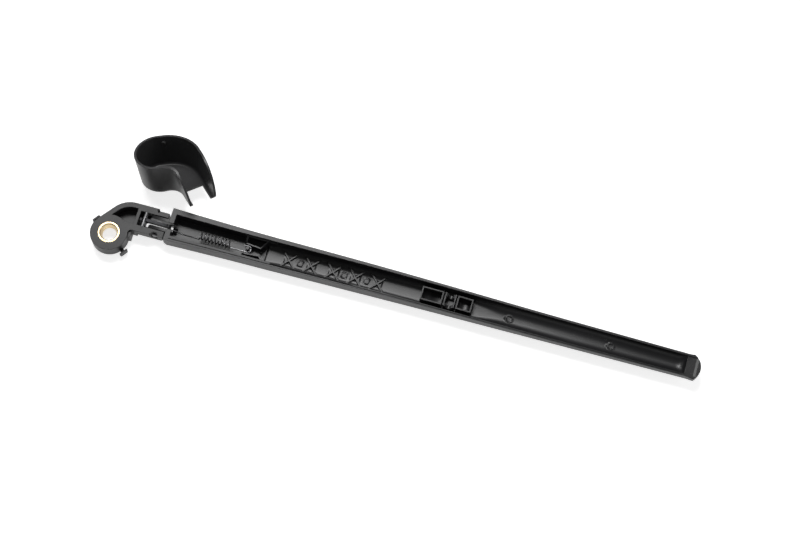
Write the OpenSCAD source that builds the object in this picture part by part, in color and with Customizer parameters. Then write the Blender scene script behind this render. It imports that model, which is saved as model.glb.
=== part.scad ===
// Rear wiper arm, lying on its back with the channel open upwards, and its spindle cap taken off.
// +X runs along the arm, +Y across it, +Z towards the glass.
// The origin is on the spindle axis, at the mouth of the nut's recess in the head's back.

/* [Mounting head] */
// Radius of the round boss at the spindle
boss_r = 12; // [11:0.5:14]
// Height of the head, from the nut's seat to the rim
head_h = 9; // [8.5:0.5:11]
// Radius of the bulge on the far side of the head
bulge_r = 16; // [14:0.5:18]
// Distance of the bulge's centre from the spindle, along the arm
bulge_x = 11; // [10:0.5:12]
// Far face of the head's neck
head_far_y = 23.8; // [23.2:0.2:25]
// Near face of the head's neck
head_near_y = 5.3; // [4.4:0.1:5.6]
// Radius of the hollow corner between the boss and the neck
head_fillet = 2; // [1.5:0.5:3]
// Thickness of the head's outer wall
head_wall = 3.3; // [2.6:0.1:3.6]
// Thickness of the head's floor
head_floor = 2; // [1.5:0.1:2.2]
// Near end of the pocket that takes the arm's neck
pocket_x = 15.4; // [15:0.1:16]
// Thickness of the wall across the head
cross_wall = 2.1; // [1.4:0.1:2.6]
// Place of the two cap lugs round the boss
lug_angle = -35; // [-40:1:-30]
// Radius to the outside of the cap lugs
lug_r = 15.4; // [15:0.1:15.6]
// Height of the cap lugs
lug_h = 4; // [3:0.5:5]

/* [Spindle insert] */
// Radius of the nut's recess in the head's back
recess_r = 9; // [8.5:0.1:9.4]
// Depth of the nut's recess
recess_d = 4; // [3:0.2:4.4]
// Outer radius of the brass insert
insert_r = 7; // [6.5:0.1:8]
// Radius of the insert's cone at its mouth
cone_r = 5.4; // [5:0.1:5.8]
// Radius of the insert's throat, which passes the spindle's threaded end
throat_r = 4.5; // [4.2:0.05:4.7]
// Length of the throat
throat_l = 1.2; // [1:0.1:2]

/* [Hinge] */
// Place of the hinge along the arm
hinge_x = 28; // [27.5:0.1:28.5]
// Height of the hinge axis
hinge_z = 4.6; // [4.4:0.1:4.8]
// Centre of the neck, the link and the spring
neck_y = 14.5; // [14.3:0.1:14.7]
// Width of the pocket between the head's cheeks
pocket_w = 9.8; // [9.6:0.1:10.2]
// Clearance on each side of the arm's neck
neck_gap = 0.5; // [0.3:0.05:0.6]
// Width of the slot through the arm's neck
slot_w = 4.6; // [4:0.1:5]
// Radius of the hinge pins
pin_r = 2; // [1.6:0.1:2.2]
// Running clearance of the neck on the hinge pins
pin_fit = 0.05; // [0.03:0.01:0.08]
// Radius of the rounded end of the arm's neck
neck_r = 5.9; // [5.4:0.1:6.2]
// Gap between the cheeks' ends and the arm's shoulders
shoulder_gap = 0.7; // [0.5:0.05:0.9]
// Distance from the hinge axis to the arm's shoulders
shoulder_d = 6.7; // [6.5:0.1:7.2]

/* [Spring and link] */
// Distance of the anchor pin behind the hinge
anchor_d = 9; // [8.8:0.1:9.2]
// Height of the anchor pin above the hinge axis
anchor_rise = 2.8; // [2.4:0.1:3]
// Radius of the anchor pin
anchor_r = 1.5; // [1.2:0.1:1.6]
// Thickness of the steel hook link
link_t = 2; // [1.6:0.1:2.4]
// Distance from the anchor pin to the eye of the link
link_l = 16.2; // [15:0.2:18]
// Distance of the spring post from the hinge
post_d = 60; // [58:0.5:62]
// Height of the spring's hook above the hinge axis, at the post
post_rise = 0.4; // [0:0.1:0.6]
// Radius of the spring post
post_r = 1.1; // [1:0.1:1.5]
// Radius of the spring's wire
wire_r = 0.45; // [0.4:0.05:0.5]
// Mean radius of the spring's coils
coil_r = 2.3; // [2:0.1:2.35]
// Number of coils
coil_turns = 9; // [7:1:10]
// Distance between neighbouring coils
coil_pitch = 2.3; // [2:0.1:2.4]
// Play of the spring's hook round its post
hook_play = 0.55; // [0.5:0.05:0.6]

/* [Arm channel] */
// Distance from the spindle to the arm's tip
arm_reach = 383; // [376:1:390]
// Middle of the arm across its width
arm_y = 15.8; // [15.6:0.1:16]
// Width of the arm at its shoulders, before the flare
arm_w_root = 20.9; // [20.2:0.1:21]
// Width of the arm near its tip
arm_w_tip = 14.8; // [14:0.1:15.2]
// Widening of the arm at its shoulders
arm_flare = 1.5; // [1:0.1:1.8]
// Length over which the arm widens at its shoulders
flare_l = 70; // [50:5:90]
// Depth of the arm from rim to back near the hinge
arm_d_root = 10.8; // [10.4:0.1:11.4]
// Depth of the arm from rim to back near the tip
arm_d_tip = 6.9; // [6.4:0.1:7.6]
// Radius of the rounding along the arm's back, made of flats
back_round = 2.6; // [1.5:0.1:3]
// Radius of the rounding along the inside of the trough, made of flats
trough_round = 3.6; // [2.5:0.1:4]
// Distance from the spindle to where the arm starts to get shallower
slope_x = 140; // [130:1:150]
// Length over which the arm gets shallower
slope_l = 174; // [160:1:180]
// Thickness of the rims at the tip
rim_tip = 1.3; // [1.1:0.1:1.6]
// Extra thickness of the rims at the shoulders
rim_extra = 2.4; // [2:0.1:2.8]
// Thickness of the arm's floor
floor_t = 1.8; // [1.4:0.1:1.8]
// Thickness of the arm's end wall behind the shoulders
end_wall = 3.3; // [2.6:0.1:4]
// Radius of the nose under the shoulders
nose_r = 6; // [5:0.5:7]
// Widening of the lip at the tip
lip_flare = 1.6; // [1:0.1:2.6]

/* [Ribs] */
// Distance of the first crossing of the floor ribs from the spindle
rib_x = 115; // [112:1:118]
// Distance between the crossings
rib_pitch = 14.6; // [13:0.2:16]
// Number of crossings
rib_count = 5; // [3:1:5]
// Thickness of the ribs
rib_t = 0.9; // [0.7:0.1:1.2]
// Height of the floor ribs
rib_h = 1.3; // [1:0.1:1.8]
// Height of the ribs round the spring post
post_rib_h = 6.2; // [3:0.2:6.6]

/* [Blade holder] */
// Distance of the blade holder's middle from the spindle
holder_x = 221; // [218:1:224]
// Width of the holder's boxes
holder_w = 9; // [8.6:0.1:9.4]
// Length of the box on the head's side
box_a_l = 14; // [12:0.5:15]
// Length of the box on the tip's side
box_b_l = 10; // [9:0.5:12]
// Distance between the walls of the pin seat
seat_gap = 6.4; // [6:0.1:7]
// Gap between the pin seat and each box
seat_room = 1.4; // [1.2:0.1:2]
// Thickness of the holder's walls
holder_t = 0.9; // [0.7:0.1:1.1]
// Radius of the seat for the blade's cross pin
cross_pin_r = 2.1; // [2:0.05:2.4]
// Depth of the cross pin's axis below the rim
cross_pin_z = 3; // [2.8:0.1:3.2]
// Depth of the boxes' top edge below the rim
holder_down = 0.8; // [0.5:0.1:1.2]

/* [Spindle cap] */
// Clearance between the head and the cap's wall
cap_gap = 0.5; // [0.4:0.05:0.6]
// Thickness of the cap's wall
cap_wall = 1.5; // [1.2:0.1:1.8]
// Depth of the cap from its rim to its roof
cap_depth = 24; // [20:0.5:24]
// Radius of the cap's rounded roof edge
cap_edge_r = 3.5; // [3:0.5:5]
// Radius of the bulge on the cap's far side
cap_bulge_r = 22; // [18:0.5:23]
// Radius of the hollow corner on the cap's near side
cap_fillet = 9; // [7:0.5:10]
// Reach of the cap's prongs from the spindle
prong_x = 35; // [34:0.2:35.4]
// Where the cap's roof ends between the prongs
roof_x = 21.5; // [20:0.5:24]
// Place of the cap on the ground beside the head
cap_x = 16.6; // [14:0.5:20]
// Distance of the cap beside the head
cap_y = 54.9; // [54:0.5:60]

/* [Hidden] */
$fn = 64;
// A cut's overrun past the faces that it opens
over = 0.5;
black_plastic = [0.09, 0.09, 0.095];
brass = [0.85, 0.72, 0.42];
steel = [0.72, 0.72, 0.74];

// Faces of the pocket, the neck and the slot
pocket_near = neck_y - pocket_w / 2;
pocket_far = neck_y + pocket_w / 2;
neck_w = pocket_w - 2 * neck_gap;
shoulder_x = hinge_x + shoulder_d;
cheek_x = shoulder_x - shoulder_gap;
cheek_r = shoulder_d - shoulder_gap;
// Where the ribs round the spring's post end, and the rounded trough starts
spring_wall_x = hinge_x + post_d + 11.5;
// Height of the neck's heel, which stops on the head's floor
heel_gap = 0.3;
heel_z = head_floor + heel_gap;
heel_x = hinge_x - 2.4;
// Depth of the slot below the channel's floor, for the link when the arm is raised
slot_sink = 0.35;
// Place of the anchor pin and direction of the spring's pull
anchor_x = hinge_x - anchor_d;
anchor_z = hinge_z + anchor_rise;
anchor_seat = 1.8;
pull_l = norm([anchor_d + post_d, anchor_rise - post_rise]);
pull_angle = atan2(anchor_rise - post_rise, anchor_d + post_d);
post_x = hinge_x + post_d;
hook_z = hinge_z + post_rise;
// Assembly fit of a pin that is pressed into the head
press_room = 0.02;
// Back of the arm near the hinge, which the part lies on
ground_z = head_h - arm_d_root;

// Rounded outlines, worked out as arcs of points
function arc(c, r, a0, a1, n) = [for (i = [0:n]) let (a = a0 + (a1 - a0) * i / n) c + r * [cos(a), sin(a)]];
function smooth(t) = let (s = min(max(t, 0), 1)) s * s * (3 - 2 * s);

// Plan outline grown outwards by g: near face, hollow corner of radius f, boss, bulge, far face
function outline(g, x_end, f, n, bx = bulge_x, br = bulge_r) = let (
        near = head_near_y - g,
        rr = boss_r + g,
        cv = near - f,
        cu = sqrt(pow(rr + f, 2) - cv * cv),
        turn = atan2(cv, cu),
        c = [bx, head_far_y - br],
        lean = atan2(c[1], c[0]) + acos((boss_r - br) / norm(c)))
    concat([[x_end, near]], arc([cu, cv], f, 90, 180 + turn, 5), arc([0, 0], rr, turn, lean - 360, n),
        arc(c, br + g, lean, 90, ceil(n / 4)), [[x_end, head_far_y + g]]);

// One cap lug: a neck with a plate across its end
module cap_lug() {
    neck = 2.4;
    neck_drop = 1.2;
    plate = 5.8;
    plate_t = 1.1;
    translate([boss_r - 1, -neck / 2, 0])
        cube([lug_r - boss_r + 1 - plate_t / 2, neck, lug_h - neck_drop]);
    linear_extrude(lug_h)
        polygon([[lug_r - plate_t, -plate / 2], [lug_r, -plate / 2 + 0.4], [lug_r, plate / 2 - 0.4],
            [lug_r - plate_t, plate / 2]]);
}

// Side view of the head from the pocket on, with its lower corner turned about the hinge
module cheek_side() {
    square([hinge_x, head_h]);
    intersection() {
        translate([hinge_x, 0])
            square([cheek_r, head_h]);
        union() {
            translate([hinge_x, hinge_z])
                circle(r = cheek_r, $fn = 96);
            translate([hinge_x, hinge_z])
                square([cheek_r, head_h]);
        }
    }
}

module mounting_head() {
    far_end = cheek_x - 0.5;
    step_x = hinge_x - 1.6;
    step_d = 1.4;
    notch_r = 2.7;
    notch_h = 4.4;
    dot_r = 1.1;
    rib_drop = 1.5;
    flange_h = 3.8;
    inset = 1.1;
    color(black_plastic)
    difference() {
        union() {
            intersection() {
                linear_extrude(head_h)
                    polygon(outline(0, cheek_x, head_fillet, 48));
                union() {
                    translate([-boss_r - over, -boss_r - over, 0])
                        cube([boss_r + pocket_x + over, boss_r + head_far_y + 2 * over, head_h]);
                    translate([0, head_far_y + over, 0])
                        rotate([90, 0, 0])
                            linear_extrude(head_far_y + boss_r)
                                cheek_side();
                }
            }
            // Small rib in the hollow corner beside the boss
            linear_extrude(head_h - rib_drop)
                polygon([[boss_r - 1, 0.4], [boss_r + 1.7, 0.8], [boss_r + 1.5, head_near_y], [boss_r - 1, head_near_y]]);
            rotate([0, 0, lug_angle])
                cap_lug();
            rotate([0, 0, lug_angle + 180])
                cap_lug();
        }
        // Seat of the brass insert
        translate([0, 0, -over])
            cylinder(r = insert_r, h = head_h + 2 * over, $fn = 96);
        translate([0, 0, -over])
            cylinder(r = recess_r, h = recess_d + over, $fn = 96);
        // Hollow between the boss, the bulge and the cross wall
        translate([0, 0, head_floor])
            linear_extrude(head_h)
                difference() {
                    intersection() {
                        polygon(outline(-head_wall, pocket_x, head_fillet, 48));
                        translate([-boss_r, pocket_near - 0.3])
                            square([boss_r + pocket_x - cross_wall, head_far_y]);
                    }
                    circle(r = boss_r - 0.05, $fn = 96);
                }
        // Pocket for the arm's neck, open below the hinge
        translate([pocket_x, pocket_near, head_floor])
            cube([cheek_x - pocket_x + over, pocket_w, head_h]);
        translate([heel_x - 0.3, pocket_near, -over])
            cube([cheek_x - heel_x + 1, pocket_w, head_h]);
        // Way for the link through the floor when the arm is raised
        translate([anchor_x + 0.5, neck_y - slot_w / 2, -over])
            cube([heel_x - anchor_x, slot_w, head_h]);
        // The near side is set in under its flange, for the cap's wall
        translate([pocket_x + 1, head_near_y - over, -over])
            cube([cheek_x, inset + over, head_h - flange_h + over]);
        // Far cheek: thinner past the hinge, and shorter than the near one
        translate([step_x, head_far_y - step_d, -over])
            cube([cheek_x, step_d + over, head_h + 2 * over]);
        translate([far_end, pocket_far - over, -over])
            cube([cheek_x, head_far_y - pocket_far + 2 * over, head_h + 2 * over]);
        translate([step_x, head_far_y - step_d, head_h - notch_h])
            cylinder(r = dot_r, h = notch_h + over);
        // Half-round recess that shows the near hinge pin's end
        translate([hinge_x, head_near_y, head_h - notch_h - pin_r])
            cylinder(r = notch_r, h = notch_h + pin_r + over);
        // Holes of the hinge pins and the anchor pin
        translate([hinge_x, head_near_y + 0.5, hinge_z])
            rotate([-90, 0, 0])
                cylinder(r = pin_r + press_room, h = head_far_y - step_d - head_near_y - 1);
        translate([anchor_x, pocket_near - anchor_seat, anchor_z])
            rotate([-90, 0, 0])
                cylinder(r = anchor_r + press_room, h = pocket_w + 2 * anchor_seat);
    }
}

module spindle_insert() {
    lead = 0.5;
    color(brass)
    rotate_extrude($fn = 96)
        polygon([[throat_r, recess_d], [insert_r - press_room, recess_d], [insert_r - press_room, head_h],
            [cone_r + lead, head_h], [cone_r, head_h - lead], [throat_r, recess_d + throat_l]]);
}

// A hinge pin that runs from y0 to y1, with a rounded outer end
module hinge_pin(y0, y1) {
    dome = 0.6;
    translate([hinge_x, y0, hinge_z])
        rotate([-90, 0, 0])
            cylinder(r = pin_r, h = y1 - y0);
    translate([hinge_x, y0, hinge_z])
        rotate([90, 0, 0])
            cylinder(r1 = pin_r, r2 = pin_r - dome, h = dome);
}

module near_hinge_pin() {
    color(steel)
        hinge_pin(head_near_y + 1.9, neck_y - slot_w / 2);
}

module far_hinge_pin() {
    color(steel)
    translate([0, 2 * neck_y, 0])
        mirror([0, 1, 0])
            hinge_pin(2 * neck_y - head_far_y + 2.6, neck_y - slot_w / 2);
}

module anchor_pin() {
    color(steel)
    translate([anchor_x, pocket_near - anchor_seat, anchor_z])
        rotate([-90, 0, 0])
            cylinder(r = anchor_r, h = pocket_w + 2 * anchor_seat);
}

// Moves a piece from the line of pull, which starts at the anchor pin, to its place
module on_pull_line() {
    translate([anchor_x, neck_y, anchor_z])
        rotate([0, pull_angle, 0])
            children();
}

// Flat steel link with a hook round the anchor pin and an eye for the spring
module hook_link() {
    hook_room = 0.15;
    hook_w = 1.5;
    bar_h = 2.9;
    eye_r = 0.9;
    inner = anchor_r + hook_room;
    color(steel)
    on_pull_line()
        translate([0, link_t / 2, 0])
            rotate([90, 0, 0])
                linear_extrude(link_t)
                    difference() {
                        union() {
                            circle(r = inner + hook_w);
                            translate([0, -bar_h / 2])
                                square([link_l, bar_h]);
                            translate([link_l, 0])
                                circle(r = bar_h / 2 + 0.4);
                        }
                        circle(r = inner);
                        translate([-inner - 2 * hook_w, 0])
                            square([inner + 2 * hook_w, inner + 2 * hook_w]);
                        translate([-inner, bar_h / 2])
                            square([2 * inner + hook_w, inner + hook_w]);
                        translate([link_l, 0])
                            circle(r = eye_r);
                    }
}

// A round wire swept along a list of points
function unit(v) = v / norm(v);
function heading(p, i) = unit(p[min(i + 1, len(p) - 1)] - p[max(i - 1, 0)]);
function across(n, t) = unit(n - (n * t) * t);
function sides_of(p, i, n) = i == len(p) ? [] :
    let (m = across(n, heading(p, i))) concat([m], sides_of(p, i + 1, m));
module wire(p, r, sides) {
    n = sides_of(p, 0, [0, 0, 1]);
    points = [for (i = [0:len(p) - 1]) let (t = heading(p, i), b = cross(t, n[i]))
        for (k = [0:sides - 1]) let (a = 360 * k / sides) p[i] + r * (cos(a) * n[i] + sin(a) * b)];
    last = (len(p) - 1) * sides;
    walls = [for (i = [0:len(p) - 2]) for (k = [0:sides - 1]) let (j = (k + 1) % sides)
        [i * sides + k, (i + 1) * sides + k, (i + 1) * sides + j, i * sides + j]];
    polyhedron(concat(points), concat(walls, [[for (k = [0:sides - 1]) k]],
        [[for (k = [sides - 1:-1:0]) last + k]]), convexity = 10);
}

// The spring in one wire: eye hook, long leg, coils, short leg and post hook
module tension_spring() {
    steps = 14;
    eye_loop = link_t / 2 + wire_r + 0.2;
    eye_x = link_l + eye_loop - 0.25;
    tail = 2.6;
    coil_l = coil_turns * coil_pitch;
    coil_x = pull_l - coil_l - 11.5;
    hook_r = post_r + wire_r + hook_play;
    flat = function (q) [q[0], q[1], 0];
    eye = [for (q = arc([eye_x, 0], eye_loop, 90, 270, 8)) flat(q)];
    coils = [for (i = [0:coil_turns * steps]) let (a = 180 + 360 * i / steps)
        [coil_x + coil_pitch * i / steps, coil_r * cos(a), coil_r * sin(a)]];
    post_hook = [for (q = arc([pull_l, 0], hook_r, -90, 100, 10)) flat(q)];
    color(steel)
    on_pull_line()
        wire(concat([[eye_x + tail, eye_loop, 0]], eye,
            [[eye_x + 3.5, -eye_loop, 0], [eye_x + 8.5, -coil_r, 0], [coil_x - 1, -coil_r, 0]], coils,
            [[coil_x + coil_l + 1, -coil_r, 0], [coil_x + coil_l + 4, -hook_r, 0]], post_hook,
            [[pull_l - 3, hook_r * 0.9, 0]]), wire_r, 8);
}

// Form of the arm along its length: width, depth and rim thickness at distance x
lip_l = 9;
body_end = arm_reach - lip_l;
function arm_w(x) = let (t = (x - shoulder_x) / (body_end - shoulder_x), f = max(0, 1 - (x - shoulder_x) / flare_l))
    arm_w_root + (arm_w_tip - arm_w_root) * t + arm_flare * f * f;
function arm_d(x) = arm_d_root - (arm_d_root - arm_d_tip) * smooth((x - slope_x) / slope_l);
function rim_t(x) = rim_tip + rim_extra * pow(max(0, 1 - (x - shoulder_x) / 262), 2);

// Distances at which the slope of the back is worked out, in n steps
function slope_stations(n) = [for (i = [0:n]) slope_x + slope_l * i / n];

// Plan of the arm from the shoulders to the tip, between -v(x) and v(x) of each station
function both_sides(stations) = concat([for (q = stations) [q[0], -q[1]]],
    [for (i = [len(stations) - 1:-1:0]) [stations[i][0], stations[i][1]]]);

// Prism along the arm, bounded by flats that face outwards at angle a from straight down, on side s.
// Each station gives the half width, the bottom and the corner's radius at x.
module flats(a, s, stations) {
    reach = [for (q = stations) [q[0], q[1] * sin(a) - q[2] * cos(a) - q[3] * (sin(a) + cos(a) - 1)]];
    n = len(reach);
    translate([0, arm_y, 0])
        rotate([atan2(-cos(a), s * sin(a)), 0, 0])
            translate([0, 0, -40])
                linear_extrude(80)
                    polygon(concat([[reach[0][0], -60]], reach, [[reach[n - 1][0], -60]]));
}

// Solid body of the arm: its plan with the flared lip, cut to its side view with the rounded nose
module arm_body() {
    long = [for (x = [shoulder_x, 40, 46, 53, 60, 68, 77, 90, 105, body_end]) [x, arm_w(x) / 2]];
    // Share of the lip's length, and widening there
    flare = [[0.25, 0.2], [0.45, 0.7], [0.6, 0.95], [0.72, 0.9], [0.84, 0.2], [0.92, -0.7], [0.97, -1.9], [1, -3.8]];
    lip = [for (e = flare) [body_end + lip_l * e[0], arm_w_tip / 2 + lip_flare / 2 * e[1]]];
    back = [for (i = [0:15]) let (x = slope_x + slope_l * i / 15) [x, head_h - arm_d(x)]];
    corner = [for (x = concat([shoulder_x - 1, 46, 60, 80, 105], slope_stations(8), [arm_reach + 1]))
        [x, arm_w(x) / 2, head_h - arm_d(x), back_round]];
    intersection() {
        flats(30, -1, corner);
        flats(60, -1, corner);
        flats(30, 1, corner);
        flats(60, 1, corner);
        translate([0, arm_y, ground_z - 1])
            linear_extrude(arm_d_root + 1)
                polygon(both_sides(concat(long, lip)));
        translate([0, 3 * arm_y, 0])
            rotate([90, 0, 0])
                linear_extrude(4 * arm_y)
                    polygon(concat([[shoulder_x - 1, head_h]],
                        arc([shoulder_x + nose_r, ground_z + nose_r], nose_r, 188, 270, 10), back,
                        [[body_end - 18, head_h - arm_d_tip], [body_end - 6, head_h - arm_d_tip + 0.8]],
                        arc([arm_reach - 3, head_h - 1.2], 3, -80, -10, 6),
                        [[arm_reach + 1, head_h - 1], [arm_reach + 1, head_h]]));
    }
}

// Hollow of the channel: its plan, cut to its side view
module arm_hollow() {
    wall_x = shoulder_x + end_wall;
    last = body_end - 5.5;
    end_r = 5;
    half = function (x) arm_w(x) / 2 - rim_t(x);
    x_plan = [wall_x, 44, 50, 58, 66, 80, 105, 130, 160, 190, 230, 270, 310, last];
    x_floor = concat([wall_x - 1], slope_stations(11), [last]);
    v = half(last);
    trough_x = spring_wall_x - 0.6;
    corner = [for (x = concat([wall_x - 1, trough_x - 1.5, trough_x], slope_stations(8), [last + 6]))
        [x, half(x), floor_z(x), x < trough_x ? -0.6 : trough_round]];
    intersection() {
        flats(30, -1, corner);
        flats(60, -1, corner);
        flats(30, 1, corner);
        flats(60, 1, corner);
        translate([0, arm_y, -5])
            linear_extrude(20)
                polygon(both_sides(concat([for (x = x_plan) [x, half(x)]],
                    [for (q = arc([last, v - end_r], end_r, 78, 0, 6)) q])));
        translate([0, 40, 0])
            rotate([90, 0, 0])
                linear_extrude(60)
                    polygon(concat([for (x = x_floor) [x, floor_z(x)]],
                        arc([last, floor_z(last) + end_r], end_r, -70, 0, 6),
                        [[last + end_r, head_h + 2], [wall_x - 1, head_h + 2]]));
    }
}

// Fine step line along the near rim
module rim_groove() {
    x_line = [shoulder_x + 3, 46, 53, 60, 68, 77, 90, 105, 160, 230, body_end - 3];
    line_w = 0.35;
    line = function (x) arm_y - arm_w(x) / 2 + 0.4 * rim_t(x);
    translate([0, 0, head_h - 0.4])
        linear_extrude(1)
            polygon(concat([for (x = x_line) [x, line(x)]],
                [for (i = [len(x_line) - 1:-1:0]) [x_line[i], line(x_line[i]) + line_w]]));
}

// Height of the channel's floor at x
function floor_z(x) = head_h - arm_d(x) + floor_t;

// A straight rib on the floor, between two points, that sinks into the floor
module floor_rib(a, b, t, h) {
    d = b - a;
    base = min(floor_z(a[0]), floor_z(b[0]));
    translate([a[0], a[1], base - floor_t / 2])
        rotate([0, 0, atan2(d[1], d[0])])
            translate([0, -t / 2, 0])
                cube([norm(d), t, h + floor_t / 2]);
}

// The crossed ribs along the floor
module crossed_ribs() {
    reach = 7;
    for (i = [0:rib_count - 1]) {
        x = rib_x + i * rib_pitch;
        half_w = arm_w(x) / 2 - rim_t(x) + 0.3;
        floor_rib([x - reach, arm_y - half_w], [x + reach, arm_y + half_w], rib_t, rib_h);
        floor_rib([x - reach, arm_y + half_w], [x + reach, arm_y - half_w], rib_t, rib_h);
    }
}

// The spring's post with the ribs that brace it
module spring_anchor() {
    rail = 2.6;
    rail_end = post_x + 8;
    rib_far = post_x - 2.2;
    side = arm_w(post_x) / 2 - rim_t(post_x) + 0.4;
    post_top = hook_z + 2.4;
    translate([post_x, neck_y, floor_z(post_x) - floor_t / 2])
        cylinder(r = post_r, h = post_top - floor_z(post_x) + floor_t / 2);
    for (s = [-1, 1]) {
        wall = arm_y + s * side;
        rail_y = neck_y + s * (post_r + wire_r + hook_play + wire_r + 0.95);
        floor_rib([rib_far, rail_y], [rib_far, wall], 1.2, post_rib_h);
        floor_rib([post_x - 2.2, rail_y], [rail_end, neck_y + s * rail], rib_t, post_rib_h - 0.6);
        floor_rib([rail_end, neck_y + s * rail], [spring_wall_x, wall], rib_t, post_rib_h - 0.6);
    }
    translate([post_x + 3, neck_y - rail, floor_z(post_x) - floor_t / 2])
        cube([5, 2 * rail, floor_t / 2 + 1]);
}

// A box of the blade holder, open at the top, from x0 to x1
module holder_box(x0, x1) {
    base = floor_z((x0 + x1) / 2) - floor_t / 2;
    h = head_h - holder_down - base;
    translate([x0, arm_y - holder_w / 2, base])
        difference() {
            cube([x1 - x0, holder_w, h]);
            translate([holder_t, holder_t, floor_t])
                cube([x1 - x0 - 2 * holder_t, holder_w - 2 * holder_t, h]);
        }
}

// The blade holder: two boxes, and between them two walls with the cross pin's snap seat
module blade_holder() {
    seat_a = holder_x - seat_gap / 2;
    seat_b = holder_x + seat_gap / 2;
    base = floor_z(holder_x) - floor_t / 2;
    h = head_h - holder_down - base;
    holder_box(seat_a - seat_room - box_a_l, seat_a - seat_room);
    holder_box(seat_b + seat_room, seat_b + seat_room + box_b_l);
    for (x = [seat_a, seat_b])
        translate([x - holder_t / 2, arm_y - holder_w / 2, base])
            cube([holder_t, holder_w, h]);
    difference() {
        for (y = [arm_y - holder_w / 2, arm_y + holder_w / 2 - 2.2])
            translate([seat_a, y, base])
                cube([seat_gap, 2.2, head_h - holder_down - 1.2 - base]);
        translate([holder_x, arm_y - holder_w, head_h - cross_pin_z])
            rotate([-90, 0, 0])
                cylinder(r = cross_pin_r, h = 2 * holder_w);
        translate([holder_x - cross_pin_r * 0.85, arm_y - holder_w, head_h - cross_pin_z])
            cube([cross_pin_r * 1.7, 2 * holder_w, head_h]);
    }
}

// Round ejector mark on the floor: a ring raised by h
module floor_mark(x, r, h) {
    ring = 0.5;
    translate([x, arm_y, floor_z(x) - floor_t / 2])
        difference() {
            cylinder(r = r, h = floor_t / 2 + h);
            translate([0, 0, floor_t / 2 + 0.05])
                cylinder(r = r - ring, h = floor_t);
        }
}

// The neck between the cheeks, with a round end and a heel that stops on the head's floor
module arm_neck() {
    back_r = 3.45;
    neck_top = head_h - 0.2;
    translate([0, neck_y + neck_w / 2, 0])
        rotate([90, 0, 0])
            linear_extrude(neck_w) {
                intersection() {
                    translate([hinge_x, hinge_z])
                        circle(r = neck_r, $fn = 96);
                    translate([hinge_x - neck_r, heel_z])
                        square([neck_r + 1, neck_top - heel_z]);
                }
                translate([hinge_x, hinge_z])
                    circle(r = back_r);
                translate([hinge_x, hinge_z - back_r])
                    square([shoulder_d + end_wall / 2, neck_top - hinge_z + back_r]);
            }
}

module arm_channel() {
    color(black_plastic)
    union() {
        difference() {
            union() {
                difference() {
                    arm_body();
                    arm_hollow();
                }
                arm_neck();
            }
            rim_groove();
            // Sloping pad in the lip
            translate([arm_reach - 2.2, arm_y - arm_w_tip / 2 + 1.2, head_h - 0.3])
                rotate([0, -14, 0])
                    translate([-12, 0, 0])
                        cube([12, arm_w_tip - 2.4, 6]);
            // Slot for the link and the spring's leg
            translate([hinge_x - neck_r - over, neck_y - slot_w / 2, floor_z(shoulder_x) - slot_sink])
                cube([neck_r + shoulder_d + end_wall + 2.5, slot_w, head_h + slot_sink]);
            translate([hinge_x, 0, hinge_z])
                rotate([-90, 0, 0])
                    cylinder(r = pin_r + pin_fit, h = 2 * neck_y);
        }
        crossed_ribs();
        spring_anchor();
        blade_holder();
        for (i = [0.5, 2.5, 3.5])
            floor_mark(rib_x + i * rib_pitch, 1.8, 0.35);
        floor_mark(holder_x + 0.24 * (arm_reach - holder_x), 2.5, 0.45);
        floor_mark(holder_x + 0.645 * (arm_reach - holder_x), 2.3, 0.45);
    }
}

// Plan of the cap, with two more points where its straight part starts
function cap_plan(g, x_end) = let (p = outline(g, x_end, cap_fillet, 16, bulge_x, cap_bulge_r),
        n = len(p), x = p[1][0] + 0.4)
    concat([p[0], [x, p[0][1]]], [for (i = [1:n - 2]) p[i]], [[x, p[n - 1][1]], p[n - 1]]);

// Shell of the cap, closed at its end: outside from the roof to the rim, then inside from the rim to the roof
module cap_shell(g_in) {
    draft = 0.02;
    turns = 3;
    g_out = g_in + cap_wall;
    levels = function (g, depth, r) [for (i = [turns:-1:0]) let (a = 90 * i / turns)
        [-depth + r - r * sin(a), g - draft * depth - r + r * cos(a)]];
    outside = concat(levels(g_out, cap_depth, cap_edge_r), [[0, g_out]]);
    inside = concat(levels(g_in, cap_depth - cap_wall, cap_edge_r - cap_wall), [[0, g_in]]);
    m = len(inside);
    rings = concat([for (l = outside) [for (q = cap_plan(l[1], prong_x + 3)) [q[0], q[1], l[0]]]],
        [for (i = [m - 1:-1:0]) [for (q = cap_plan(inside[i][1], prong_x + 1.5)) [q[0], q[1], inside[i][0]]]]);
    n = len(rings[0]);
    last = n * (len(rings) - 1);
    walls = [for (i = [0:len(rings) - 2]) for (k = [0:n - 1]) let (j = (k + 1) % n)
        [i * n + k, i * n + j, (i + 1) * n + j, (i + 1) * n + k]];
    polyhedron([for (ring = rings) for (q = ring) q], concat(walls, [[n - 1, n - 2, 1, 0]], [[for (k = [n - 2:-1:1]) k]],
        [[last, last + 1, last + n - 2, last + n - 1]], [[for (k = [1:n - 2]) last + k]]), convexity = 6);
}

// Side view of the cap, with the prongs' ends rounded
function cap_side(r0, r1) = concat([[-2 * boss_r, 1], [prong_x - r0 - 3, 1], [prong_x - r0 - 1, -0.2]],
    arc([prong_x - r0, -r0], r0, 85, 0, 12), arc([prong_x - r1, r1 - cap_depth], r1, 0, -80, 8),
    [[prong_x - r1, -cap_depth - 1], [-2 * boss_r, -cap_depth - 1]]);

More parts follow.
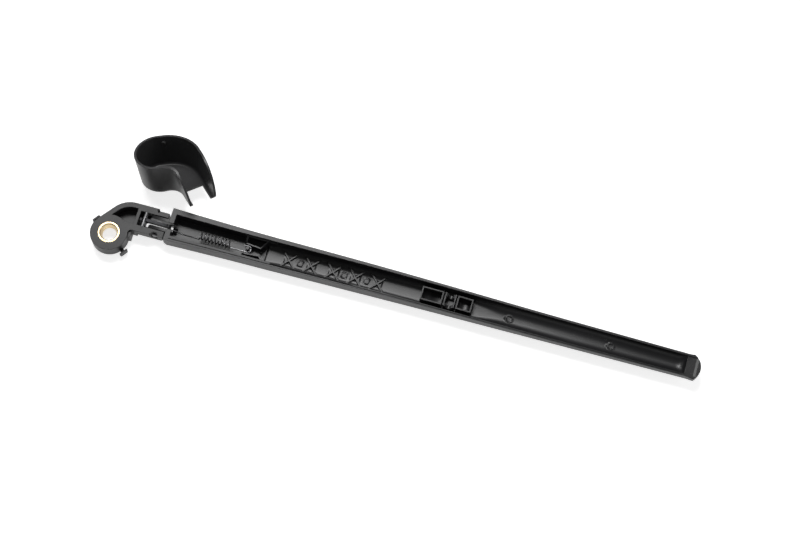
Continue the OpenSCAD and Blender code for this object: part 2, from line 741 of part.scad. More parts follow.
// The cap in the place where it would be fitted, its rim at the height of the head's rim
module cap_fitted() {
    g_in = cap_gap + (lug_r - boss_r) * 0.4;
    g_out = g_in + cap_wall;
    nub_r = 1.5;
    nub_h = 1.3;
    strip = 6;
    prong_t = 2.8;
    difference() {
        intersection() {
            cap_shell(g_in);
            translate([0, head_far_y + 2 * g_out, 0])
                rotate([90, 0, 0])
                    linear_extrude(head_far_y + boss_r + 4 * g_out)
                        polygon(cap_side(13, 5.5));
        }
        // Opening between the prongs
        translate([roof_x, head_near_y - g_out + prong_t, -cap_depth - over])
            cube([prong_x, head_far_y - head_near_y + 2 * g_out - prong_t - strip, cap_depth + 2 * over]);
    }
    // Snap nub inside the round end
    rotate([0, 0, 180 + lug_angle])
        translate([boss_r + g_in - nub_h, 0, -5])
            rotate([0, 90, 0])
                cylinder(r = nub_r, h = nub_h + cap_wall / 2, $fn = 12);
}

module spindle_cap() {
    lean = [-1.7, -17.9, -47.6];
    rest_z = 24.63;
    color(black_plastic)
    translate([cap_x, cap_y, rest_z])
        rotate(lean)
            cap_fitted();
}

mounting_head();
spindle_insert();
near_hinge_pin();
far_hinge_pin();
anchor_pin();
hook_link();
tension_spring();
arm_channel();
spindle_cap();
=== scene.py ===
"""Rear wiper arm lying on its back, with its spindle cap taken off and set down beside the head.

Everything is in metres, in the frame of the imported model: X along the arm, Z towards the glass.
"""
import math
import bpy
from mathutils import Euler, Matrix


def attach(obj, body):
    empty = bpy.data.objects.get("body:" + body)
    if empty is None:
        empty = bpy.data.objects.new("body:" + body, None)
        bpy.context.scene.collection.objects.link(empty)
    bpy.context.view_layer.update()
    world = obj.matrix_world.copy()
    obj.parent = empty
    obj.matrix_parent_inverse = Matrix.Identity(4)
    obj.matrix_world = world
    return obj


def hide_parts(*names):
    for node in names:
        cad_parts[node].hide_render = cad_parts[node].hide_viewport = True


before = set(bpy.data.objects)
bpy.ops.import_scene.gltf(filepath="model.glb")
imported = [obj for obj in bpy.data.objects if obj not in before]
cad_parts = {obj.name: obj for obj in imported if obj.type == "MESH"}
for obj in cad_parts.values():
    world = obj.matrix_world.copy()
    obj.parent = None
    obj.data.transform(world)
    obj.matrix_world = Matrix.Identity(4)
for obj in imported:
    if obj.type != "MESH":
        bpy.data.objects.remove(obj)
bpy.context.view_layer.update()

# Heights and places of the model that the looks follow; RIM is the channel's rim,
# CORNER the radius of its own inner corners, TROUGH_HALF the trough's half width
GROUND = -0.0018
ARM_MIDDLE = 0.0158
TROUGH_HALF = 0.0062
POST_END = 0.0993
HOLDER_START = 0.2028
HOLDER_END = 0.2352
CORNER = 0.0036
SHOULDER_X = 0.0347
BODY_END = 0.374
RIM = 0.009
LIP_ROUND = 0.0055
STAGE_MIDDLE = (0.18, 0.02)

# The cap as it lies: its plan, depth, wall and place
CAP_NEAR = 0.0068
CAP_FAR = 0.02139
CAP_BOSS = 0.0119
CAP_HOLLOW = 0.00967
CAP_BULGE = 0.02137
CAP_BULGE_X = 0.01008
CAP_DEPTH = 0.02419
CAP_DRAFT = 0.06
CAP_WALL = 0.0015
CAP_GAP = 0.00186
CAP_EDGE = 0.0035
CAP_ROOF_END = 0.01868
CAP_PLACE = (0.0165, 0.05504, 0.02478)
CAP_LEAN = (-8.0, -21.93, -45.12)


# Camera

def place_camera():
    """The photograph's view: a long lens from high above, tilted a little towards the far side."""
    data = bpy.data.cameras.new("photo_camera")
    data.lens = 85.0
    data.sensor_width = 36.0
    data.sensor_fit = "HORIZONTAL"
    data.dof.use_dof = False
    data.clip_start = 0.01
    data.clip_end = 20.0
    camera = bpy.data.objects.new("photo_camera", data)
    camera.location = (0.29521, -0.35675, 1.13476)
    camera.rotation_euler = (math.radians(19.6), 0.0, math.radians(15.985))
    bpy.context.collection.objects.link(camera)
    bpy.context.scene.camera = camera


# Shaping helpers

def take_up(piece):
    """Makes a piece the only one selected, and the active one."""
    bpy.ops.object.select_all(action="DESELECT")
    piece.select_set(True)
    bpy.context.view_layer.objects.active = piece


def combine(piece, tool, operation):
    """Joins a tool to a piece, or cuts it away, for good."""
    change = piece.modifiers.new("shape", "BOOLEAN")
    change.operation = operation
    change.solver = "EXACT"
    change.object = tool
    take_up(piece)
    bpy.ops.object.modifier_apply(modifier=change.name)
    bpy.data.objects.remove(tool)


def copy_of(node, name):
    """A new piece that starts from a CAD node's own shape, with its seams closed."""
    piece = bpy.data.objects.new(name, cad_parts[node].data.copy())
    bpy.context.collection.objects.link(piece)
    take_up(piece)
    bpy.ops.object.mode_set(mode="EDIT")
    bpy.ops.mesh.select_all(action="SELECT")
    bpy.ops.mesh.remove_doubles(threshold=0.000001)
    bpy.ops.mesh.dissolve_limited(angle_limit=math.radians(0.2))
    bpy.ops.object.mode_set(mode="OBJECT")
    return piece


def finish_piece(piece, node, body, angle):
    """Shades a piece smooth up to an angle, and sets it in the node's place."""
    take_up(piece)
    bpy.ops.object.shade_smooth_by_angle(angle=math.radians(angle))
    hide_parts(node)
    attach(piece, body)
    return piece


def box(middle, size):
    """A box of a size round its middle."""
    bpy.ops.mesh.primitive_cube_add(size=1.0, location=middle)
    block = bpy.context.active_object
    block.scale = size
    bpy.ops.object.transform_apply(location=True, rotation=True, scale=True)
    return block


def thicken(sheet, way):
    """Extrudes a sheet along way into a closed solid that faces outwards."""
    take_up(sheet)
    bpy.ops.object.mode_set(mode="EDIT")
    bpy.ops.mesh.select_all(action="SELECT")
    bpy.ops.mesh.extrude_region_move(TRANSFORM_OT_translate={"value": way})
    bpy.ops.mesh.select_all(action="SELECT")
    bpy.ops.mesh.normals_make_consistent(inside=False)
    bpy.ops.object.mode_set(mode="OBJECT")
    return sheet


# The arm's round trough and lip

def smooth(t):
    """A soft step from 0 to 1."""
    t = min(max(t, 0.0), 1.0)
    return t * t * (3.0 - 2.0 * t)


def arm_half(x):
    """Half of the channel's inner width at x, as in the model."""
    root_width, taper, flare_width, flare_length = 0.0209, 0.0061, 0.0015, 0.07
    tip_wall, root_wall_more, wall_length = 0.0013, 0.0024, 0.262
    along = (x - SHOULDER_X) / (BODY_END - SHOULDER_X)
    flare = max(0.0, 1.0 - (x - SHOULDER_X) / flare_length)
    outer = root_width - taper * along + flare_width * flare * flare
    wall = tip_wall + root_wall_more * max(0.0, 1.0 - (x - SHOULDER_X) / wall_length) ** 2
    return outer / 2 - wall


def arm_floor(x):
    """Height of the channel's floor at x, as in the model."""
    rise, rise_start, rise_length = 0.0039, 0.14, 0.174
    return rise * smooth((x - rise_start) / rise_length)


def trough_liner(start, last, end_round, bend, widening):
    """Filling that gives the channel's corners a full round of radius bend.

    The round grows from the model's own over a length of widening. The filling stops at last, or
    rises beyond it with a round of radius end_round.
    """
    stations, turns = 80, 10
    lift, thickness, below_rim, least_climb = 0.00003, 0.0007, 0.0004, 0.0001
    into_wall, end_gap = 0.0004, 0.0002
    columns = 2 * turns + 4
    bpy.ops.mesh.primitive_grid_add(x_subdivisions=stations, y_subdivisions=columns - 1, size=1.0)
    liner = bpy.context.active_object
    stop = last + max(end_round - end_gap, 0.0)
    for vertex in liner.data.vertices:
        step = round((vertex.co.x + 0.5) * stations)
        column = round((vertex.co.y + 0.5) * (columns - 1))
        x = start + (stop - start) * step / stations
        beyond = max(0.0, x - last)
        bottom = arm_floor(x) + lift + end_round - math.sqrt(end_round ** 2 - beyond ** 2)
        round_off = CORNER + (bend - CORNER) * smooth((x - start) / widening)
        climb = max(min(round_off, RIM - below_rim - bottom), least_climb)
        half = arm_half(min(x, last))
        side = -1.0 if column < columns / 2 else 1.0
        turn = column if side < 0.0 else columns - 1 - column
        angle = math.pi / 2 * (1.0 - max(0, turn - 1) / turns)
        reach = half - round_off + round_off * math.sin(angle) + (into_wall if turn == 0 else 0.0)
        vertex.co = (x, ARM_MIDDLE + side * reach, bottom + climb * (1.0 - math.cos(angle)))
    return thicken(liner, (0.0, 0.0, -thickness))


def lip_cutter():
    """What lies outside the lip's round end."""
    round_x, round_y, radius = 0.3733, 0.0149, 0.0097
    bpy.ops.mesh.primitive_cylinder_add(vertices=96, radius=radius, depth=0.04,
                                        location=(round_x, round_y, 0.0))
    rounded = bpy.context.active_object
    cutter = box((0.3872, 0.015, 0.0), (0.02, 0.04, 0.03))
    combine(cutter, rounded, "DIFFERENCE")
    return cutter


def lip_pad():
    """Filling that makes the lip's pad level, just under the rim."""
    middle_x, middle_z = 0.37745, 0.007
    length, width, depth = 0.0077, 0.0132, 0.0026
    return box((middle_x, ARM_MIDDLE, middle_z), (length, width, depth))


def bow(arm):
    """The moulding's slight bow across its length, in slices short enough to look curved."""
    first, half_wave, rise = 0.105, 0.135, 0.00042
    slices, slice_length, most_turn = 14, 0.0157, 1.5
    take_up(arm)
    bpy.ops.object.mode_set(mode="EDIT")
    for step in range(slices):
        bpy.ops.mesh.select_all(action="SELECT")
        bpy.ops.mesh.bisect(plane_co=(first + slice_length * step, 0.0, 0.0),
                            plane_no=(1.0, 0.0, 0.0))
    bpy.ops.object.mode_set(mode="OBJECT")
    for vertex in arm.data.vertices:
        turn = min(max((vertex.co.x - first) / half_wave, 0.0), most_turn)
        vertex.co.y += rise * math.sin(math.pi * turn)


def shape_arm():
    """The arm's moulding: the model's channel with its lip, its round trough and its bow."""
    arm = copy_of("arm_channel", "arm_moulding")
    combine(arm, lip_pad(), "UNION")
    combine(arm, lip_cutter(), "DIFFERENCE")
    combine(arm, trough_liner(HOLDER_END, BODY_END - LIP_ROUND, LIP_ROUND, 0.006, 0.02), "UNION")
    combine(arm, trough_liner(POST_END, HOLDER_START, 0.0, 0.0047, 0.012), "UNION")
    bow(arm)
    return finish_piece(arm, "arm_channel", "arm", 24.0)


# The spindle cap, in its own frame: spindle axis at the origin, rim at z = 0, roof below

def arc(centre, radius, start, stop, count):
    """Points along an arc; angles in radians."""
    turns = [start + (stop - start) * i / count for i in range(count + 1)]
    return [(centre[0] + radius * math.cos(t), centre[1] + radius * math.sin(t)) for t in turns]


def cap_outline(grow, end_x):
    """The cap's plan, grown outwards: near face, hollow corner, round boss, bulge, far face."""
    near = CAP_NEAR - grow
    around = CAP_BOSS + grow
    lift = near - CAP_HOLLOW
    hollow = (math.sqrt((around + CAP_HOLLOW) ** 2 - lift ** 2), lift)
    turn = math.atan2(hollow[1], hollow[0])
    bulge = (CAP_BULGE_X, CAP_FAR - CAP_BULGE)
    lean = math.atan2(bulge[1], bulge[0]) + math.acos((CAP_BOSS - CAP_BULGE) / math.hypot(*bulge))
    half_turn = math.pi / 2
    return ([(end_x, near)]
            + arc(hollow, CAP_HOLLOW, half_turn, math.pi + turn, 16)
            + arc((0.0, 0.0), around, turn, lean - 2.0 * math.pi, 56)
            + arc(bulge, CAP_BULGE + grow, lean, half_turn, 24)
            + [(end_x, CAP_FAR + grow)])


def cap_body(grow, depth, edge, top, end_x):
    """A solid of the cap's plan with a rounded roof edge and drafted walls."""
    turns = 7
    levels = []
    for i in range(turns, -1, -1):
        t = math.pi / 2 * i / turns
        levels.append((-depth + edge - edge * math.sin(t),
                       grow - CAP_DRAFT * depth - edge + edge * math.cos(t)))
    levels.append((0.0, grow))
    if top > 0.0:
        levels.append((top, grow))
    rings = [cap_outline(out, end_x) for height, out in levels]
    count = len(rings[0])
    bpy.ops.mesh.primitive_grid_add(x_subdivisions=count, y_subdivisions=len(levels) - 1, size=1.0)
    body = bpy.context.active_object
    for vertex in body.data.vertices:
        place = round((vertex.co.x + 0.5) * count) % count
        level = round((vertex.co.y + 0.5) * (len(levels) - 1))
        vertex.co = (*rings[level][place], levels[level][0])
    take_up(body)
    bpy.ops.object.mode_set(mode="EDIT")
    bpy.ops.mesh.select_all(action="SELECT")
    bpy.ops.mesh.remove_doubles(threshold=0.000001)
    bpy.ops.mesh.fill_holes(sides=0)
    bpy.ops.mesh.select_all(action="SELECT")
    bpy.ops.mesh.normals_make_consistent(inside=False)
    bpy.ops.object.mode_set(mode="OBJECT")
    return body


def prong_profile():
    """A block across the cap that leaves its prongs' long rounded ends."""
    reach, rim_fall, rim_back, corner = 0.0345, 0.0195, 0.019, 0.004
    back, low, high, side, width = -0.03, -0.03, 0.002, -0.03, 0.08
    points = [(back, low), (reach - corner, low)]
    points += arc((reach - corner, -CAP_DEPTH + corner), corner, -math.pi / 2, 0.0, 8)
    for i in range(15):
        t = math.pi / 2 * i / 14
        points.append((reach - rim_back + rim_back * math.cos(t), -rim_fall + rim_fall * math.sin(t)))
    points += [(reach - rim_back, high), (back, high)]
    bpy.ops.mesh.primitive_circle_add(vertices=len(points), radius=1.0, fill_type="NGON")
    block = bpy.context.active_object
    for vertex, (x, z) in zip(block.data.vertices, points):
        vertex.co = (x, side, z)
    return thicken(block, (0.0, width, 0.0))


def block_between(low, high):
    """A box from one corner to the other."""
    return box([(a + b) / 2 for a, b in zip(low, high)], [b - a for a, b in zip(low, high)])


def nub(place, way, radius, length):
    """A short round boss from place along way."""
    bpy.ops.mesh.primitive_cylinder_add(vertices=24, radius=radius, depth=length, location=place,
                                        rotation=(0.0, math.pi / 2, way))
    stud = bpy.context.active_object
    bpy.ops.object.transform_apply(location=True, rotation=True, scale=True)
    return stud


def shape_cap():
    """The spindle cap: a shell open at its rim and at its prongs' end, laid beside the head."""
    cap_grow = CAP_GAP + CAP_WALL
    shell_end, hollow_end, above_rim = 0.038, 0.0395, 0.005
    near_prong, far_strip, opening_end = 0.0042, 0.005, 0.05
    snap, snap_depth, snap_radius, snap_length = math.radians(145.0), -0.005, 0.0015, 0.0024
    cap = cap_body(cap_grow, CAP_DEPTH, CAP_EDGE, 0.0, shell_end)
    inside = cap_body(CAP_GAP, CAP_DEPTH - CAP_WALL, CAP_EDGE - CAP_WALL, above_rim, hollow_end)
    combine(cap, inside, "DIFFERENCE")
    combine(cap, prong_profile(), "INTERSECT")
    opening = block_between((CAP_ROOF_END, CAP_NEAR - cap_grow + near_prong, -CAP_DEPTH - 0.001),
                            (opening_end, CAP_FAR + cap_grow - far_strip, 0.003))
    combine(cap, opening, "DIFFERENCE")
    out = CAP_BOSS + CAP_GAP
    snap_place = (out * math.cos(snap), out * math.sin(snap), snap_depth)
    combine(cap, nub(snap_place, snap, snap_radius, snap_length), "UNION")
    cap.name = "spindle_cap_shell"
    lean = Euler([math.radians(a) for a in CAP_LEAN]).to_matrix().to_4x4()
    cap.data.transform(Matrix.Translation(CAP_PLACE) @ lean)
    return finish_piece(cap, "spindle_cap", "head", 32.0)


# Shader helpers

def link(tree, source, target):
    """Joins an output socket to an input socket."""
    tree.links.new(source, target)


def add(tree, kind, **values):
    """A node; a value named like an input, with _ for a space, is that socket's value."""
    node = tree.nodes.new(kind)
    for name, value in values.items():
        label = name.replace("_", " ")
        if label in node.inputs:
            node.inputs[label].default_value = value
        else:
            setattr(node, name, value)
    return node


def ramp(tree, source, stops):
    """A colour ramp over a value; stops are (place, grey or colour)."""
    node = tree.nodes.new("ShaderNodeValToRGB")
    elements = node.color_ramp.elements
    while len(elements) < len(stops):
        elements.new(0.5)
    for element, (place, shade) in zip(elements, stops):
        element.position = place
        element.color = (shade, shade, shade, 1.0) if isinstance(shade, float) else (*shade, 1.0)
    link(tree, source, node.inputs["Fac"])
    return node.outputs["Color"]


def group(name, inputs, outputs):
    """An empty shader group with the named sockets, and its input and output nodes."""
    tree = bpy.data.node_groups.new(name, "ShaderNodeTree")
    for label, kind, value in inputs:
        socket = tree.interface.new_socket(label, in_out="INPUT", socket_type=kind)
        socket.default_value = value
    for label, kind in outputs:
        tree.interface.new_socket(label, in_out="OUTPUT", socket_type=kind)
    return tree, tree.nodes.new("NodeGroupInput"), tree.nodes.new("NodeGroupOutput")


def use(tree, shared, **values):
    """A node of a shared group, with its inputs set; _ stands for a space."""
    node = tree.nodes.new("ShaderNodeGroup")
    node.node_tree = shared
    for name, value in values.items():
        node.inputs[name.replace("_", " ")].default_value = value
    return node


# Effects that more than one finish uses

def moulded_grain():
    """The fine spark-eroded grain of a mould, on softened edges."""
    tree, inputs, outputs = group(
        "moulded_grain",
        [("Grain Size", "NodeSocketFloat", 2600.0), ("Depth", "NodeSocketFloat", 0.25),
         ("Edge Radius", "NodeSocketFloat", 0.0003)],
        [("Normal", "NodeSocketVector"), ("Grain", "NodeSocketFloat")],
    )
    place = add(tree, "ShaderNodeTexCoord")
    soft = add(tree, "ShaderNodeBevel", samples=6)
    fine = add(tree, "ShaderNodeTexNoise", Detail=3.0, Roughness=0.6)
    wavy = add(tree, "ShaderNodeTexNoise", Scale=90.0, Detail=2.0, Roughness=0.5)
    mix = add(tree, "ShaderNodeMath", operation="MULTIPLY_ADD")
    mix.inputs[1].default_value = 0.35
    bump = add(tree, "ShaderNodeBump", Distance=0.00006)
    link(tree, place.outputs["Object"], fine.inputs["Vector"])
    link(tree, place.outputs["Object"], wavy.inputs["Vector"])
    link(tree, inputs.outputs["Grain Size"], fine.inputs["Scale"])
    link(tree, inputs.outputs["Edge Radius"], soft.inputs["Radius"])
    link(tree, wavy.outputs["Fac"], mix.inputs[0])
    link(tree, fine.outputs["Fac"], mix.inputs[2])
    link(tree, mix.outputs["Value"], bump.inputs["Height"])
    link(tree, inputs.outputs["Depth"], bump.inputs["Strength"])
    link(tree, soft.outputs["Normal"], bump.inputs["Normal"])
    link(tree, bump.outputs["Normal"], outputs.inputs["Normal"])
    link(tree, fine.outputs["Fac"], outputs.inputs["Grain"])
    return tree


def edge_wear():
    """A mask that is 1 along rubbed edges, broken up by a noise."""
    tree, inputs, outputs = group(
        "edge_wear",
        [("Width", "NodeSocketFloat", 0.0005), ("Patchiness", "NodeSocketFloat", 180.0),
         ("Amount", "NodeSocketFloat", 0.5)],
        [("Mask", "NodeSocketFloat")],
    )
    place = add(tree, "ShaderNodeTexCoord")
    face = add(tree, "ShaderNodeNewGeometry")
    soft = add(tree, "ShaderNodeBevel", samples=6)
    dot = add(tree, "ShaderNodeVectorMath", operation="DOT_PRODUCT")
    patches = add(tree, "ShaderNodeTexNoise", Detail=5.0, Roughness=0.65)
    lift = add(tree, "ShaderNodeMath", operation="SUBTRACT")
    lift.inputs[0].default_value = 1.0
    both = add(tree, "ShaderNodeMath", operation="MULTIPLY")
    scaled = add(tree, "ShaderNodeMath", operation="MULTIPLY", use_clamp=True)
    link(tree, inputs.outputs["Width"], soft.inputs["Radius"])
    link(tree, soft.outputs["Normal"], dot.inputs[0])
    link(tree, face.outputs["Normal"], dot.inputs[1])
    link(tree, dot.outputs["Value"], lift.inputs[1])
    link(tree, place.outputs["Object"], patches.inputs["Vector"])
    link(tree, inputs.outputs["Patchiness"], patches.inputs["Scale"])
    link(tree, ramp(tree, lift.outputs["Value"], [(0.0, 0.0), (0.12, 1.0)]), both.inputs[0])
    link(tree, ramp(tree, patches.outputs["Fac"], [(0.38, 0.0), (0.62, 1.0)]), both.inputs[1])
    link(tree, both.outputs["Value"], scaled.inputs[0])
    link(tree, inputs.outputs["Amount"], scaled.inputs[1])
    link(tree, scaled.outputs["Value"], outputs.inputs["Mask"])
    return tree


def settled_dust():
    """A mask of fine specks and lint, thicker on faces that look up."""
    tree, inputs, outputs = group(
        "settled_dust",
        [("Speck Scale", "NodeSocketFloat", 900.0), ("Amount", "NodeSocketFloat", 0.5)],
        [("Mask", "NodeSocketFloat")],
    )
    place = add(tree, "ShaderNodeTexCoord")
    face = add(tree, "ShaderNodeNewGeometry")
    split = add(tree, "ShaderNodeSeparateXYZ")
    specks = add(tree, "ShaderNodeTexVoronoi", feature="F1")
    cloud = add(tree, "ShaderNodeTexNoise", Scale=55.0, Detail=4.0)
    both = add(tree, "ShaderNodeMath", operation="MULTIPLY")
    upward = add(tree, "ShaderNodeMath", operation="MULTIPLY")
    scaled = add(tree, "ShaderNodeMath", operation="MULTIPLY", use_clamp=True)
    link(tree, place.outputs["Object"], specks.inputs["Vector"])
    link(tree, place.outputs["Object"], cloud.inputs["Vector"])
    link(tree, inputs.outputs["Speck Scale"], specks.inputs["Scale"])
    link(tree, face.outputs["Normal"], split.inputs["Vector"])
    link(tree, ramp(tree, specks.outputs["Distance"], [(0.1, 1.0), (0.22, 0.0)]), both.inputs[0])
    link(tree, ramp(tree, cloud.outputs["Fac"], [(0.5, 0.0), (0.68, 1.0)]), both.inputs[1])
    link(tree, both.outputs["Value"], upward.inputs[0])
    link(tree, ramp(tree, split.outputs["Z"], [(0.3, 0.0), (0.9, 1.0)]), upward.inputs[1])
    link(tree, upward.outputs["Value"], scaled.inputs[0])
    link(tree, inputs.outputs["Amount"], scaled.inputs[1])
    link(tree, scaled.outputs["Value"], outputs.inputs["Mask"])
    return tree


def in_trough():
    """Masks along the arm: 1 deep inside the channel, and 1 where its round trough is plain."""
    side_fade, start_fade = 0.0012, 0.006
    tree, inputs, outputs = group(
        "in_trough",
        [("Rim", "NodeSocketFloat", 0.0082), ("Bottom", "NodeSocketFloat", 0.0066)],
        [("Inside", "NodeSocketFloat"), ("Plain", "NodeSocketFloat")],
    )
    place = add(tree, "ShaderNodeTexCoord")
    split = add(tree, "ShaderNodeSeparateXYZ")
    sink = add(tree, "ShaderNodeMapRange", interpolation_type="SMOOTHSTEP")
    across = add(tree, "ShaderNodeMath", operation="SUBTRACT")
    across.inputs[1].default_value = ARM_MIDDLE
    off_middle = add(tree, "ShaderNodeMath", operation="ABSOLUTE")
    between = add(tree, "ShaderNodeMapRange", interpolation_type="SMOOTHSTEP",
                  From_Min=TROUGH_HALF + side_fade, From_Max=TROUGH_HALF)
    inside = add(tree, "ShaderNodeMath", operation="MULTIPLY")
    start = add(tree, "ShaderNodeMapRange", interpolation_type="SMOOTHSTEP",
                From_Min=HOLDER_END, From_Max=HOLDER_END + start_fade)
    plain = add(tree, "ShaderNodeMath", operation="MULTIPLY")
    link(tree, place.outputs["Object"], split.inputs["Vector"])
    link(tree, split.outputs["Z"], sink.inputs["Value"])
    link(tree, inputs.outputs["Rim"], sink.inputs["From Min"])
    link(tree, inputs.outputs["Bottom"], sink.inputs["From Max"])
    link(tree, split.outputs["Y"], across.inputs[0])
    link(tree, across.outputs["Value"], off_middle.inputs[0])
    link(tree, off_middle.outputs["Value"], between.inputs["Value"])
    link(tree, sink.outputs["Result"], inside.inputs[0])
    link(tree, between.outputs["Result"], inside.inputs[1])
    link(tree, split.outputs["X"], start.inputs["Value"])
    link(tree, inside.outputs["Value"], plain.inputs[0])
    link(tree, start.outputs["Result"], plain.inputs[1])
    link(tree, inside.outputs["Value"], outputs.inputs["Inside"])
    link(tree, plain.outputs["Value"], outputs.inputs["Plain"])
    return tree


# Finishes

def start_finish(name):
    """A material with only its Principled shader, and that shader."""
    finish = bpy.data.materials.new(name)
    finish.use_nodes = True
    tree = finish.node_tree
    tree.nodes.clear()
    shader = tree.nodes.new("ShaderNodeBsdfPrincipled")
    out = tree.nodes.new("ShaderNodeOutputMaterial")
    link(tree, shader.outputs["BSDF"], out.inputs["Surface"])
    return finish, tree, shader


def blend_colours(tree, mask, base, top):
    """base where the mask is 0, top where it is 1; base may be a socket or a colour."""
    node = add(tree, "ShaderNodeMix", data_type="RGBA")
    link(tree, mask, node.inputs["Factor"])
    for value, socket in ((base, node.inputs[6]), (top, node.inputs[7])):
        if isinstance(value, tuple):
            socket.default_value = (*value, 1.0)
        else:
            link(tree, value, socket)
    return node.outputs[2]


def black_plastic(name, colour, rough, grain_size, depth, edge, wear):
    """Glass-filled black moulding: grained, a little paler where edges are rubbed and specks lie."""
    rubbed_black, dust_grey = (0.075, 0.076, 0.08), (0.2, 0.2, 0.19)
    finish, tree, shader = start_finish(name)
    grain = use(tree, GRAIN, Grain_Size=grain_size, Depth=depth, Edge_Radius=edge)
    worn = use(tree, WEAR, Width=edge * 1.6, Patchiness=240.0, Amount=wear)
    dust = use(tree, DUST, Speck_Scale=1100.0, Amount=0.55)
    place = add(tree, "ShaderNodeTexCoord")
    flow = add(tree, "ShaderNodeTexNoise", Scale=28.0, Detail=5.0, Roughness=0.6)
    link(tree, place.outputs["Object"], flow.inputs["Vector"])
    mottled = blend_colours(tree, ramp(tree, flow.outputs["Fac"], [(0.3, 0.0), (0.75, 1.0)]),
                            colour, tuple(c * 1.5 for c in colour))
    rubbed = blend_colours(tree, worn.outputs["Mask"], mottled, rubbed_black)
    dusty = blend_colours(tree, dust.outputs["Mask"], rubbed, dust_grey)
    link(tree, dusty, shader.inputs["Base Color"])
    sheen = add(tree, "ShaderNodeMapRange", To_Min=rough - 0.07, To_Max=rough + 0.09)
    link(tree, flow.outputs["Fac"], sheen.inputs["Value"])
    link(tree, sheen.outputs["Result"], shader.inputs["Roughness"])
    link(tree, grain.outputs["Normal"], shader.inputs["Normal"])
    shader.inputs["IOR"].default_value = 1.52
    return finish, tree, shader, grain


def channel_plastic():
    """The arm's moulding: a little smoother in the trough, where its edges look rounder."""
    edge, trough_edge_more, trough_roughness = 0.0003, 0.0007, 0.88
    finish, tree, shader, grain = black_plastic("arm_plastic", (0.012, 0.012, 0.013), 0.4,
                                                2400.0, 0.22, edge, 0.5)
    trough = use(tree, TROUGH)
    rounding = add(tree, "ShaderNodeMath", operation="MULTIPLY_ADD")
    rounding.inputs[1].default_value = trough_edge_more
    rounding.inputs[2].default_value = edge
    link(tree, trough.outputs["Plain"], rounding.inputs[0])
    link(tree, rounding.outputs["Value"], grain.inputs["Edge Radius"])
    polish = add(tree, "ShaderNodeMapRange", To_Min=1.0, To_Max=trough_roughness)
    rough = add(tree, "ShaderNodeMath", operation="MULTIPLY")
    link(tree, trough.outputs["Inside"], polish.inputs["Value"])
    link(tree, shader.inputs["Roughness"].links[0].from_socket, rough.inputs[0])
    link(tree, polish.outputs["Result"], rough.inputs[1])
    link(tree, rough.outputs["Value"], shader.inputs["Roughness"])
    return finish


def turned_brass():
    """Turned brass, with fine rings round the spindle and a slight tarnish."""
    clean_brass, tarnish = (0.83, 0.68, 0.42), (0.62, 0.47, 0.27)
    finish, tree, shader = start_finish("turned_brass")
    place = add(tree, "ShaderNodeTexCoord")
    rings = add(tree, "ShaderNodeTexWave", wave_type="RINGS", rings_direction="Z", Scale=420.0,
                Distortion=0.6, Detail=2.0)
    stain = add(tree, "ShaderNodeTexNoise", Scale=160.0, Detail=5.0)
    soft = add(tree, "ShaderNodeBevel", samples=6, Radius=0.00025)
    bump = add(tree, "ShaderNodeBump", Strength=0.25, Distance=0.00002)
    for texture in (rings, stain):
        link(tree, place.outputs["Object"], texture.inputs["Vector"])
    link(tree, rings.outputs["Fac"], bump.inputs["Height"])
    link(tree, soft.outputs["Normal"], bump.inputs["Normal"])
    link(tree, bump.outputs["Normal"], shader.inputs["Normal"])
    colour = blend_colours(tree, ramp(tree, stain.outputs["Fac"], [(0.35, 0.0), (0.75, 1.0)]),
                           clean_brass, tarnish)
    link(tree, colour, shader.inputs["Base Color"])
    rough = add(tree, "ShaderNodeMapRange", To_Min=0.22, To_Max=0.42)
    link(tree, stain.outputs["Fac"], rough.inputs["Value"])
    link(tree, rough.outputs["Result"], shader.inputs["Roughness"])
    shader.inputs["Metallic"].default_value = 1.0
    return finish


def steel(name, colour, rough, stretch, edge):
    """Drawn or stamped steel: fine lines along the piece, darker patches of oil."""
    finish, tree, shader = start_finish(name)
    place = add(tree, "ShaderNodeTexCoord")
    along = add(tree, "ShaderNodeMapping", Scale=stretch)
    lines = add(tree, "ShaderNodeTexNoise", Scale=1.0, Detail=3.0)
    oil = add(tree, "ShaderNodeTexNoise", Scale=210.0, Detail=4.0)
    soft = add(tree, "ShaderNodeBevel", samples=6, Radius=edge)
    bump = add(tree, "ShaderNodeBump", Strength=0.3, Distance=0.00002)
    worn = use(tree, WEAR, Width=edge * 1.5, Patchiness=600.0, Amount=0.6)
    link(tree, place.outputs["Object"], along.inputs["Vector"])
    link(tree, along.outputs["Vector"], lines.inputs["Vector"])
    link(tree, place.outputs["Object"], oil.inputs["Vector"])
    link(tree, lines.outputs["Fac"], bump.inputs["Height"])
    link(tree, soft.outputs["Normal"], bump.inputs["Normal"])
    link(tree, bump.outputs["Normal"], shader.inputs["Normal"])
    stained = blend_colours(tree, ramp(tree, oil.outputs["Fac"], [(0.4, 0.0), (0.7, 1.0)]),
                            colour, tuple(c * 0.55 for c in colour))
    bright = tuple(min(1.0, c * 1.5) for c in colour)
    link(tree, blend_colours(tree, worn.outputs["Mask"], stained, bright), shader.inputs["Base Color"])
    spread = add(tree, "ShaderNodeMapRange", To_Min=rough - 0.08, To_Max=rough + 0.14)
    link(tree, oil.outputs["Fac"], spread.inputs["Value"])
    link(tree, spread.outputs["Result"], shader.inputs["Roughness"])
    shader.inputs["Metallic"].default_value = 1.0
    return finish


def dress(piece, finish):
    """Gives a piece, or the CAD node of that name, its finish."""
    if isinstance(piece, str):
        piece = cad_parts[piece]
    slots = piece.data.materials
    slots.clear()
    slots.append(finish)


# Stage

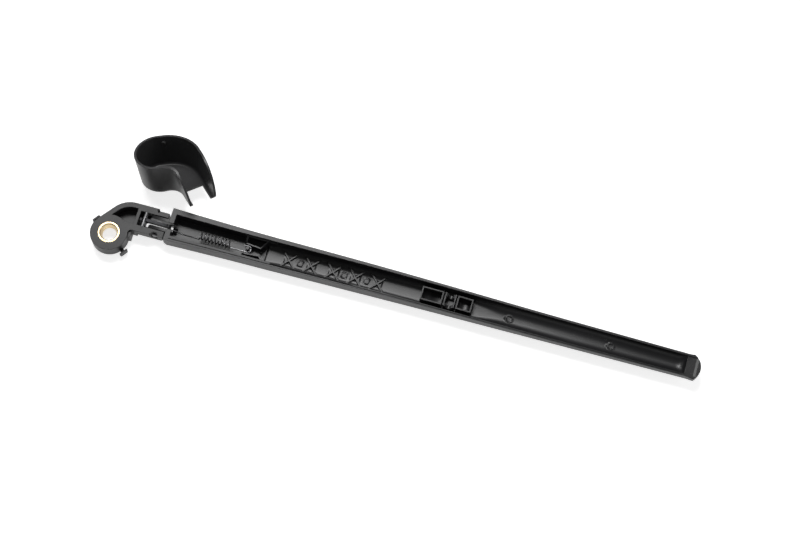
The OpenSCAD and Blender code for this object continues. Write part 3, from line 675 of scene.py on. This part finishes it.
def backdrop_finish():
    """White to the camera and in reflections, with the object's shadow kept."""
    glow_level = 0.75
    finish = bpy.data.materials.new("white_floor")
    finish.use_nodes = True
    tree = finish.node_tree
    tree.nodes.clear()
    paper = add(tree, "ShaderNodeBsdfDiffuse", Color=(0.8, 0.8, 0.8, 1.0))
    glow = add(tree, "ShaderNodeEmission", Color=(1.0, 1.0, 1.0, 1.0))
    path = add(tree, "ShaderNodeLightPath")
    seen = add(tree, "ShaderNodeMath", operation="ADD", use_clamp=True)
    seen_all = add(tree, "ShaderNodeMath", operation="ADD", use_clamp=True)
    level = add(tree, "ShaderNodeMath", operation="MULTIPLY")
    level.inputs[1].default_value = glow_level
    both = add(tree, "ShaderNodeAddShader")
    out = add(tree, "ShaderNodeOutputMaterial")
    link(tree, path.outputs["Is Camera Ray"], seen.inputs[0])
    link(tree, path.outputs["Is Glossy Ray"], seen.inputs[1])
    link(tree, seen.outputs["Value"], seen_all.inputs[0])
    link(tree, path.outputs["Is Transmission Ray"], seen_all.inputs[1])
    link(tree, seen_all.outputs["Value"], level.inputs[0])
    link(tree, level.outputs["Value"], glow.inputs["Strength"])
    link(tree, paper.outputs["BSDF"], both.inputs[0])
    link(tree, glow.outputs["Emission"], both.inputs[1])
    link(tree, both.outputs["Shader"], out.inputs["Surface"])
    return finish


def lay_floor():
    """The white ground under the object, for the pictures only."""
    bpy.ops.mesh.primitive_plane_add(size=8.0, location=(*STAGE_MIDDLE, GROUND))
    floor = bpy.context.active_object
    floor.name = "floor"
    floor.data.materials.append(backdrop_finish())


def softbox(name, place, aim, width, height, power):
    """A rectangular lamp at place that shines towards aim."""
    data = bpy.data.lights.new(name, "AREA")
    data.shape = "RECTANGLE"
    data.size = width
    data.size_y = height
    data.energy = power
    lamp = bpy.data.objects.new(name, data)
    lamp.location = place
    bpy.context.collection.objects.link(lamp)
    way = [b - a for a, b in zip(place, aim)]
    flat = math.hypot(way[0], way[1])
    lamp.rotation_euler = (math.atan2(flat, -way[2]), 0.0, math.atan2(way[1], way[0]) - math.pi / 2)


def light_studio():
    """A dim white surround and three soft lamps."""
    world = bpy.data.worlds.new("studio")
    bpy.context.scene.world = world
    world.use_nodes = True
    sky = world.node_tree.nodes["Background"]
    sky.inputs["Color"].default_value = (1.0, 1.0, 1.0, 1.0)
    sky.inputs["Strength"].default_value = 0.11
    middle = (*STAGE_MIDDLE, 0.0)
    softbox("back", (-0.22, 0.66, 1.2), (-0.22, 0.02, 0.0), 0.8, 0.4, 13.0)
    softbox("front", (0.4, -1.2, 0.6), middle, 1.2, 0.5, 1.0)
    softbox("right", (1.3, 0.1, 0.5), middle, 0.7, 0.7, 2.5)


bpy.ops.object.select_all(action="DESELECT")
place_camera()
GRAIN = moulded_grain()
WEAR = edge_wear()
DUST = settled_dust()
TROUGH = in_trough()

dress(shape_arm(), channel_plastic())
dress("mounting_head", black_plastic("head_plastic", (0.014, 0.014, 0.015), 0.46,
                                     2000.0, 0.3, 0.00035, 0.55)[0])
dress(shape_cap(), black_plastic("cap_plastic", (0.03, 0.03, 0.031), 0.38,
                                 2800.0, 0.18, 0.0003, 0.35)[0])
dress("spindle_insert", turned_brass())
pin_steel = steel("pin_steel", (0.2, 0.2, 0.205), 0.34, (1500.0, 120.0, 1500.0), 0.0002)
for pin in ("near_hinge_pin", "far_hinge_pin", "anchor_pin"):
    dress(pin, pin_steel)
dress("hook_link", steel("link_steel", (0.03, 0.03, 0.032), 0.42, (180.0, 1600.0, 1600.0), 0.00025))
dress("tension_spring", steel("spring_steel", (0.2, 0.2, 0.205), 0.3, (700.0, 700.0, 700.0), 0.00008))

lay_floor()
light_studio()
bpy.context.scene.view_settings.view_transform = "Standard"
